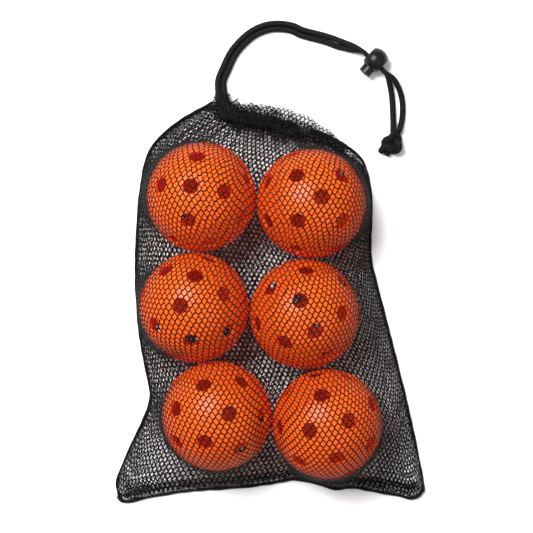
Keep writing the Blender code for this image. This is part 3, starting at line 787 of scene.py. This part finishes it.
def net_arrays(surface, width, length, jitter, openness, pitch=NET_PITCH):
    """Knitted net on a grid of surface points: cells with a raised thread line round each hole."""
    across = round(width / pitch[0])
    rows = round(length / pitch[1])
    pitch_u, pitch_v = 1 / across, 1 / (rows + 0.5)
    tip = (1 - NET_SIDE) * pitch_v
    side = NET_SIDE * pitch_v
    ring = np.array([(0, tip), (-pitch_u / 2, side), (-pitch_u / 2, -side), (0, -tip),
                     (pitch_u / 2, -side), (pitch_u / 2, side)])
    centres = []
    for row in range(rows):
        shift = 0.5 * (row % 2)
        count = across - (row % 2)
        u = (np.arange(count) + 0.5 + shift) * pitch_u
        centres.append(np.column_stack([u, np.full(count, (row + 0.75) * pitch_v)]))
    centres = np.concatenate(centres)
    corners = centres[:, None] + ring[None]
    keys = np.round(corners / (pitch_u / 8, pitch_v / 20)).astype(np.int64).reshape(-1, 2)
    codes = keys[:, 0] * 1_000_003 + keys[:, 1]
    _, first, index = np.unique(codes, return_index=True, return_inverse=True)
    shared = corners.reshape(-1, 2)[first]
    shared += RANDOM.normal(0, jitter, shared.shape) * (pitch_u, pitch_v)
    index = index.reshape(-1, 6)
    shrink = np.array([openness[0] if k % 3 == 0 else openness[1] for k in range(6)])
    holes = centres[:, None] + (shared[index] - centres[:, None]) * shrink[None, :, None]
    centre_points, normals = sample_surface(surface, np.clip(shared, 0, 1))
    hole_points, _ = sample_surface(surface, np.clip(holes.reshape(-1, 2), 0, 1))
    top = centre_points + normals * THREAD_RISE
    low = centre_points - normals * THREAD_RISE
    count = len(shared)
    points = np.concatenate([top, low, hole_points])
    hole_index = (2 * count + np.arange(len(hole_points))).reshape(-1, 6)
    quads = []
    for k in range(6):
        n = (k + 1) % 6
        here, there = hole_index[:, k], hole_index[:, n]
        quads.append(np.stack([index[:, k], index[:, n], there, here], axis=1))
        quads.append(np.stack([count + index[:, n], count + index[:, k], here, there], axis=1))
    edges = np.concatenate([index[:, [k, (k + 1) % 6]] for k in range(6)])
    code = edges.min(axis=1) * count + edges.max(axis=1)
    _, where, number = np.unique(code, return_index=True, return_counts=True)
    border = edges[where[number == 1]]
    quads.append(np.column_stack([border[:, ::-1], count + border]))
    return points, np.concatenate(quads)


def sample_surface(surface, uv):
    """Position and normal at (u, v) on a grid of points."""
    columns, rows = surface.shape[0] - 1, surface.shape[1] - 1
    du = unit(np.gradient(surface, axis=0))
    dv = unit(np.gradient(surface, axis=1))
    normal = unit(np.cross(du, dv))
    x, y = uv[:, 0] * columns, uv[:, 1] * rows
    i = np.minimum(x.astype(int), columns - 1)
    j = np.minimum(y.astype(int), rows - 1)
    s, t = (x - i)[:, None], (y - j)[:, None]

    def mix(values):
        return ((1 - s) * (1 - t) * values[i, j] + s * (1 - t) * values[i + 1, j]
                + (1 - s) * t * values[i, j + 1] + s * t * values[i + 1, j + 1])
    return mix(surface), unit(mix(normal))


def pull_pairs(points, axis, parity, rest):
    """Move neighbouring points along one grid axis towards their cut distance."""
    moved = points if axis == 0 else points.swapaxes(0, 1)
    first = moved[parity:-1:2]
    second = moved[parity + 1::2]
    count = min(len(first), len(second))
    first, second = first[:count], second[:count]
    gap = second - first
    length = np.maximum(np.linalg.norm(gap, axis=2, keepdims=True), 1e-9)
    error = (length - rest) / length
    step = 0.5 * gap * np.where(error > 0, STRETCH_PULL, SQUEEZE_PUSH) * error
    first += step
    second -= step


def push_out(points, centre, reach):
    offset = points - centre
    distance = np.maximum(np.linalg.norm(offset, axis=-1, keepdims=True), MM)
    return offset / distance * np.maximum(reach - distance, 0)


def seam_line(route, shift, count):
    fine = sideways(curve_of(np.array(route, float) * MM, 120), shift)
    return curve_of(fine, count)


def smooth_once(points, amount):
    inner = points[1:-1, 1:-1]
    around = (points[2:, 1:-1] + points[:-2, 1:-1] + points[1:-1, 2:] + points[1:-1, :-2]) / 4
    inner += amount * (around - inner)


def lift_off(points, centres):
    """Move the inner points out of the balls and off the floor."""
    inner = points[1:-1, 1:-1]
    for centre in centres:
        inner += push_out(inner, centre, BALL_RADIUS + BALL_CLEARANCE)
    inner[:, :, 2] = np.maximum(inner[:, :, 2], LOWEST)


def grid_shares():
    return np.linspace(0, 1, COLUMNS + 1)[:, None], np.linspace(0, 1, ROWS + 1)[None, :]


def drape_front(centres):
    """Pull the front panel over the balls: pinned at the seams and gathered into the hem."""
    left = seam_line((*LEFT_SEAM, NECK_LEFT), -EDGE_OUT, ROWS + 1)
    right = seam_line((*RIGHT_SEAM, NECK_RIGHT), EDGE_OUT, ROWS + 1)
    bottom = seam_line(BOTTOM_SEAM, EDGE_OUT, COLUMNS + 1)
    mouth = (*HEM_ROUTE[:9], (20.0, 116.8, 5.6), NECK_RIGHT)
    top = curve_of(np.array(mouth, float) * MM, COLUMNS + 1)
    top -= np.array((0.0, 1.0 * MM, 1.4 * MM))
    for edge in (left, right, bottom):
        edge[:, 2] = np.maximum(edge[:, 2], 2.0 * MM)
    bottom[0], bottom[-1] = left[0], right[0]
    left[-1], right[-1] = top[0], top[-1]
    points = coons_patch(bottom, top, left, right)
    u, v = grid_shares()
    dome = np.minimum(1, 2 * np.sin(math.pi * u) * np.sin(math.pi * v))
    points[:, :, 2] += 2 * BALL_RADIUS * dome
    pinned = points.copy()
    for _ in range(SETTLE_STEPS):
        smooth_once(points, 1.0)
        lift_off(points, centres)
    pleats = np.sin(2 * math.pi * (PLEATS * u + 0.4 * np.sin(6 * v + 4 * u)))
    grow, fade = np.clip((v - 0.70) / 0.2, 0, 1) ** 1.5, np.clip((1 - v) / 0.03, 0.25, 1)
    crease = np.sin(2 * math.pi * (5.3 * u - 2.1 * v)) * np.sin(2 * math.pi * (1.7 * u + 2.6 * v))
    relief = PLEAT_HEIGHT * grow * fade * pleats + CREASE_HEIGHT * crease
    points[1:-1, 1:-1, 2] += relief[1:-1, 1:-1]
    for _ in range(DRAPE_STEPS):
        points[:, :, 2] -= DRAPE_FALL
        for parity in (0, 1):
            pull_pairs(points, 0, parity, TAUT_WIDTH / COLUMNS)
            pull_pairs(points, 1, parity, FRONT_LENGTH / ROWS)
        smooth_once(points, 0.02)
        lift_off(points, centres)
        for edge in ((0, slice(None)), (-1, slice(None)), (slice(None), 0), (slice(None), -1)):
            points[edge] = pinned[edge]
    for _ in range(2):
        take_up_slack(points, FOLDS)
        even_rows(points)
    return points


def make_front_net(centres, material):
    cells = net_arrays(drape_front(centres), PANEL_WIDTH, FRONT_LENGTH, 0.02, THIN_THREAD)
    return place(object_from("front_net", [cells], material), "bag", "net", "front_panel")


FOLD_SHARE = 0.28                   # part of the width, at each side, that takes up the slack
FOLD_LEAST = 0.12
FOLDS = (                           # place across the panel, half width and start along it
    (0.10, 0.020, 0.66), (0.21, 0.026, 0.78), (0.31, 0.022, 0.80), (0.42, 0.030, 0.74),
    (0.53, 0.022, 0.78), (0.63, 0.026, 0.80), (0.74, 0.022, 0.62), (0.86, 0.026, 0.70),
)


def take_up_slack(patch, folds=()):
    """Keep each row at the net's own pitch; crowd the rest at its ends and in folds."""
    u = np.linspace(0, 1, patch.shape[0])
    t = np.clip(np.minimum(u, 1 - u) / FOLD_SHARE, 0, 1)
    sides = t * t * (3 - 2 * t)
    for row in range(patch.shape[1]):
        v = row / (patch.shape[1] - 1)
        ease = sides.copy()
        for middle, half, start in folds:
            depth = min(max((v - start) / 0.12, 0), 1)
            at = middle + 0.02 * math.sin(9 * v + 40 * middle)
            ease *= 1 - depth * np.exp(-((u - at) / (half * (0.6 + 0.6 * depth))) ** 2)
        line = patch[:, row].copy()
        along = along_line(line)
        ends = (along[-1] / PANEL_WIDTH - ease.mean()) / (1 - ease.mean())
        ends = min(max(ends, FOLD_LEAST), 1.0)
        pace = ends + (1 - ends) * (ease[1:] + ease[:-1]) / 2
        at = np.concatenate([[0], np.cumsum(pace)])
        patch[:, row] = resample(line, at / at[-1] * along[-1], along)


def even_rows(patch):
    """Space the rows evenly along each column of the draped panel."""
    for column in range(patch.shape[0]):
        line = patch[column].copy()
        along = along_line(line)
        patch[column] = resample(line, np.linspace(0, along[-1], len(line)), along)


# The back panel's top edge under the hem, and how far it puffs out behind it.
PUFF_BASE = (
    (-40.0, 133.0), (-34.0, 135.0), (-26.0, 132.5), (-15.0, 130.5), (-5.5, 128.5), (4.5, 126.0),
    (12.5, 124.0), (20.0, 119.5), (30.0, 114.5), (40.0, 109.5), (50.0, 103.5), (60.0, 96.0),
)
PUFF_EDGE = (
    (-41.0, 134.0), (-35.0, 137.5), (-26.2, 135.8), (-17.2, 136.0), (-5.5, 135.6), (8.3, 133.8),
    (21.8, 129.6), (33.0, 123.6), (43.4, 115.6), (54.0, 107.0), (59.0, 102.0), (64.5, 96.8),
)
PUFF_HEIGHT = 3.6 * MM
PUFF_STEPS = 30
PUFF_PITCH = (3.0 * MM, 2.4 * MM)
PUFF_THREAD = (0.79, 0.85)
BACK_HEIGHT = 0.5 * MM


def puff_surface():
    """The back panel's top bulges out from under the hem, over, and back down to it."""
    base = curve_of(np.array([(x, y, 0) for x, y in PUFF_BASE]) * MM, COLUMNS + 1)
    edge = curve_of(np.array([(x, y, 0) for x, y in PUFF_EDGE]) * MM, COLUMNS + 1)
    u = np.linspace(0, 1, COLUMNS + 1)
    lumps = 1 + 0.07 * np.sin(2 * math.pi * 7 * u + 0.8) + 0.04 * np.sin(2 * math.pi * 17 * u)
    rise = PUFF_HEIGHT * np.clip(np.minimum(u, 1 - u) / 0.12, 0.3, 1) * (0.85 + 0.15 * lumps)
    rows = []
    for angle in np.linspace(-math.pi / 2, math.pi / 2, PUFF_STEPS + 1):
        row = base + (edge - base) * (math.cos(angle) * lumps)[:, None]
        row[:, 2] = 0.6 * MM + rise * (1 + math.sin(angle))
        rows.append(row[:, None])
    return np.concatenate(rows, axis=1)


def back_surface():
    """The back panel lies flat, with its slack crowded along both sides."""
    left = seam_line(LEFT_SEAM, -EDGE_OUT, ROWS + 1)
    right = seam_line(RIGHT_SEAM[:-3], EDGE_OUT, ROWS + 1)
    bottom = seam_line(BOTTOM_SEAM, EDGE_OUT, COLUMNS + 1)
    top = curve_of(np.array([(x, y, 0) for x, y in PUFF_BASE]) * MM, COLUMNS + 1)
    bottom[0], bottom[-1] = left[0], right[0]
    left[-1], right[-1] = top[0], top[-1]
    flat = coons_patch(bottom, top, left, right)
    flat[:, :, 2] = 0
    take_up_slack(flat)
    u, v = grid_shares()
    crowded = np.clip(1 - np.minimum(u, 1 - u) / FOLD_SHARE, 0, 1)
    flat[:, :, 2] = BACK_HEIGHT + 0.12 * MM * (1 + np.sin(19 * u + 5 * v) * np.sin(23 * v - 4 * u))
    flat[:, :, 2] += 0.7 * MM * crowded * (1 + np.sin(2 * math.pi * (26 * u + 1.5 * np.sin(5 * v))))
    return flat


def mean_length(surface, axis):
    return float(np.linalg.norm(np.diff(surface, axis=axis), axis=2).sum(axis=axis).mean())


def make_back_net(material):
    flat, puff = back_surface(), puff_surface()
    length = mean_length(flat, 1)
    puff_width, puff_length = mean_length(puff, 0), mean_length(puff, 1)
    parts = [net_arrays(flat, PANEL_WIDTH, length, 0.02, THICK_THREAD),
             net_arrays(puff, puff_width, puff_length, 0.03, PUFF_THREAD, PUFF_PITCH)]
    net = object_from("back_net", parts, material)
    return place(net, "bag", "net", "back_panel"), length + puff_length


# ---------------------------------------------------------------- seams and hem

def overlock(angle, along):
    """Thread wrapped round a sewn edge, slightly flat and uneven."""
    wrap = np.sin(2 * math.pi * along / (1.9 * MM) + angle)
    drift = np.sin(along / (7.3 * MM)) * np.sin(2 * angle + along / (11 * MM))
    return 0.90 + 0.10 * wrap + 0.14 * drift


SEAM_ENDS = {
    "left_seam": ((-101.4, -134.2, 2.1), *LEFT_SEAM, NECK_LEFT),
    "bottom_seam": BOTTOM_SEAM,
    "right_seam": ((102.8, -130.0, 2.1), *RIGHT_SEAM),
}
SEAM_OUT = 1.6 * MM
SEAM_RADIUS = {"left_seam": 0.75, "bottom_seam": 1.15, "right_seam": 0.75}
SEAM_SWELL = {                      # extra radius and reach at the start and the end of a seam
    "left_seam": ((0.6, 12), (0.4, 22)),
    "bottom_seam": ((0.5, 16), (0.5, 16)),
    "right_seam": ((1.0, 12), (1.5, 45)),
}


def make_seams(material):
    for name, route in SEAM_ENDS.items():
        out = -SEAM_OUT if name == "left_seam" else SEAM_OUT
        shifted = sideways(smooth_curve(np.array(route, float) * MM, 2 * MM), out)
        path = smooth_curve(shifted, 0.35 * MM)
        along = along_line(path)
        radius = np.full(len(path), SEAM_RADIUS[name] * MM)
        for (swell, reach), distance in zip(SEAM_SWELL[name], (along, along[-1] - along)):
            radius += swell * MM * np.clip(1 - distance / (reach * MM), 0, 1) ** 1.5
        radius *= 1 + 0.15 * np.sin(along / (2.3 * MM) + 2 * np.sin(along / (9 * MM)))
        radius *= np.sqrt(np.clip(np.minimum(along, along[-1] - along) / (1.2 * MM), 0.05, 1))
        path[:, 2] = np.maximum(path[:, 2] - 0.6 * MM, 1.15 * radius)
        parts = [sweep(path, radius, 18, overlock)]
        if name == "bottom_seam":
            parts.append(frill_net(RIM, 1.0, 0.0, RIM_WIDTH, 0.14, FRILL_THREAD, FRILL_PITCH))
        place(object_from(name + "_edge", parts, material), "bag", "seam_tape", name)


def gathers(angle, along):
    """Fabric of the hem channel bunched into small ruffles across the cord."""
    phase = (2 * math.pi * along / (2.3 * MM) + 1.3 * np.sin(along / (2.3 * MM))
             + 0.9 * np.sin(2 * angle))
    lumps = np.sin(along / (3.7 * MM) + 1.7 * np.sin(angle)) * np.sin(angle + along / (6.1 * MM))
    fine = 2 * math.pi * along / (0.95 * MM) + 2 * np.sin(3 * angle)
    return 1.0 + 0.28 * np.sin(phase) + 0.26 * lumps + 0.10 * np.sin(fine)


def neck_pleats(angle, along):
    """Pleats that run down from the drawn-up mouth."""
    twist = 9 * angle + 0.8 * np.sin(along / (3 * MM)) + 1.5 * np.sin(angle)
    fine = 2 * math.pi * along / (1.1 * MM) + 3 * np.sin(4 * angle)
    return (1.0 + 0.17 * np.sin(twist) + 0.10 * np.sin(3 * angle + along / (2.5 * MM))
            + 0.05 * np.sin(fine))


# Middle line, half width and height of the crumpled net drawn up over the hem, millimetres.
FRILL = (
    (-33.6, 143.5, 3.2, 7.2), (-33.0, 139.0, 4.0, 8.2), (-31.4, 134.2, 5.2, 9.0),
    (-27.0, 130.4, 5.6, 9.4), (-18.0, 127.6, 5.4, 9.4), (-8.0, 125.6, 5.8, 9.4),
    (3.0, 122.6, 5.6, 9.3), (12.0, 119.2, 5.2, 8.8), (21.0, 117.6, 4.2, 7.8),
    (31.0, 114.4, 3.2, 7.0), (41.0, 110.4, 2.4, 6.0), (51.0, 104.6, 1.5, 5.0),
)
FRILL_WIDTH = 15 * MM
FRILL_THREAD = (0.62, 0.68)
RIM = (                             # the same for the bunched net along the bottom seam
    (-100.5, -129.5, 5.0, 3.6), (-93.0, -130.0, 5.0, 3.8), (-80.0, -128.3, 4.0, 3.4),
    (-64.0, -125.6, 3.0, 3.0), (-42.0, -123.6, 2.6, 2.8), (-20.0, -122.2, 2.4, 2.8),
    (1.0, -119.4, 2.4, 2.8), (18.0, -116.8, 2.4, 2.8), (34.0, -120.2, 2.8, 3.0),
    (46.0, -123.0, 3.0, 3.0), (58.0, -122.4, 3.0, 3.0), (74.0, -125.0, 4.0, 3.4),
    (88.0, -127.4, 5.2, 4.0), (97.0, -127.6, 5.2, 4.0), (101.5, -125.0, 3.2, 3.4),
)
RIM_WIDTH = 9 * MM
FRILL_PITCH = (2.1 * MM, 1.9 * MM)
RUFFLE = (1.75, -1.2 * MM)          # loose net beside the frill: how much wider and lower
RUFFLE_PITCH = (2.8 * MM, 2.3 * MM)


def frill_surface(route, widen, lift):
    """A crumpled strip of net that arches over a gathered edge."""
    line = smooth_curve(np.array(route) * MM, 0.8 * MM)
    heading = unit(np.gradient(line[:, :2], axis=0))
    outward = np.column_stack([-heading[:, 1], heading[:, 0]])
    along = along_line(line[:, :2])
    rows = []
    for t in np.linspace(-1, 1, 25):
        wave = np.sin(along / (1.25 * MM) + 2.1 * np.sin(along / (4.3 * MM)) + 2.6 * t)
        ripple = np.sin(along / (0.66 * MM) - 3.3 * t + np.sin(along / (2.7 * MM)))
        ragged = 0.20 * np.sin(along / (2.3 * MM) + 2 * t) + 0.14 * ripple
        reach = widen * line[:, 2] * t * (1 + ragged)
        top = line[:, 3] + lift
        low = np.minimum(3.4 * MM, 0.6 * top)
        height = top - (top - low) * abs(t) ** 2.4 + (0.7 * wave + 0.35 * ripple) * MM
        rows.append(np.column_stack([line[:, :2] + outward * reach[:, None], height])[None])
    return np.concatenate(rows, axis=0)[::-1]


def frill_net(route, widen, lift, width, *cells):
    surface = frill_surface(route, widen, lift)
    return net_arrays(surface, width, mean_length(surface, 1), *cells)


HEM_TAPER = (-16 * MM, 20 * MM)     # where along X the gathers thin out
NECK = (                            # centre and radius of the gathered neck, millimetres
    (-33.4, 144.4, 4.6, 3.3), (-33.3, 141.5, 5.0, 3.5), (-33.0, 138.6, 5.2, 3.7),
    (-32.4, 135.4, 5.3, 4.2), (-31.2, 131.8, 5.4, 4.6), (-29.6, 128.0, 5.2, 4.2),
    (-28.2, 125.2, 5.0, 2.6),
)


def hem_radius(path, thick, thin):
    start, stop = HEM_TAPER
    return thick + (thin - thick) * np.clip((path[:, 0] - start) / (stop - start), 0, 1)


def make_hem(material):
    path = smooth_curve(np.array(HEM_ROUTE, float) * MM, 0.22 * MM)
    front = curve_of(np.array(HEM_ROUTE[1:9], float) * MM, 300)
    back = curve_of(np.array(HEM_ROUTE[:10:-1], float) * MM, 300)
    between = smooth_curve((front + back) / 2 + np.array((0, 0, 1.1 * MM)), 0.22 * MM)
    neck = smooth_curve(np.array(NECK) * MM, 0.22 * MM)
    parts = [sweep(path, hem_radius(path, 2.3 * MM, 1.9 * MM), 36, gathers),
             sweep(between, hem_radius(between, 2.2 * MM, 0.3 * MM), 36, gathers),
             sweep(neck[:, :3], neck[:, 3], 72, neck_pleats),
             frill_net(FRILL, 1.0, 0.0, FRILL_WIDTH, 0.12, FRILL_THREAD, FRILL_PITCH),
             frill_net(FRILL, *RUFFLE, RUFFLE[0] * FRILL_WIDTH, 0.14, THICK_THREAD,
                       RUFFLE_PITCH)]
    place(object_from("hem_channel", parts, material), "bag", "seam_tape", "mouth_hem")


make_camera()
make_studio()
strands, cord_material = make_strands()
knot = make_knot(cord_material)
barrel, plunger, spring = make_lock()
ball_centres = make_balls()
yarn_black = (0.003, 0.003, 0.0032)
net_material = yarn_material("net_yarn", yarn_black, (0.009, 0.009, 0.0095), 0.55, 1500.0)
seam_material = yarn_material("seam_yarn", yarn_black, (0.008, 0.008, 0.0085), 0.6, 1200.0)
front_net = make_front_net(ball_centres, net_material)
back_net, back_length = make_back_net(net_material)
make_seams(seam_material)
make_hem(seam_material)
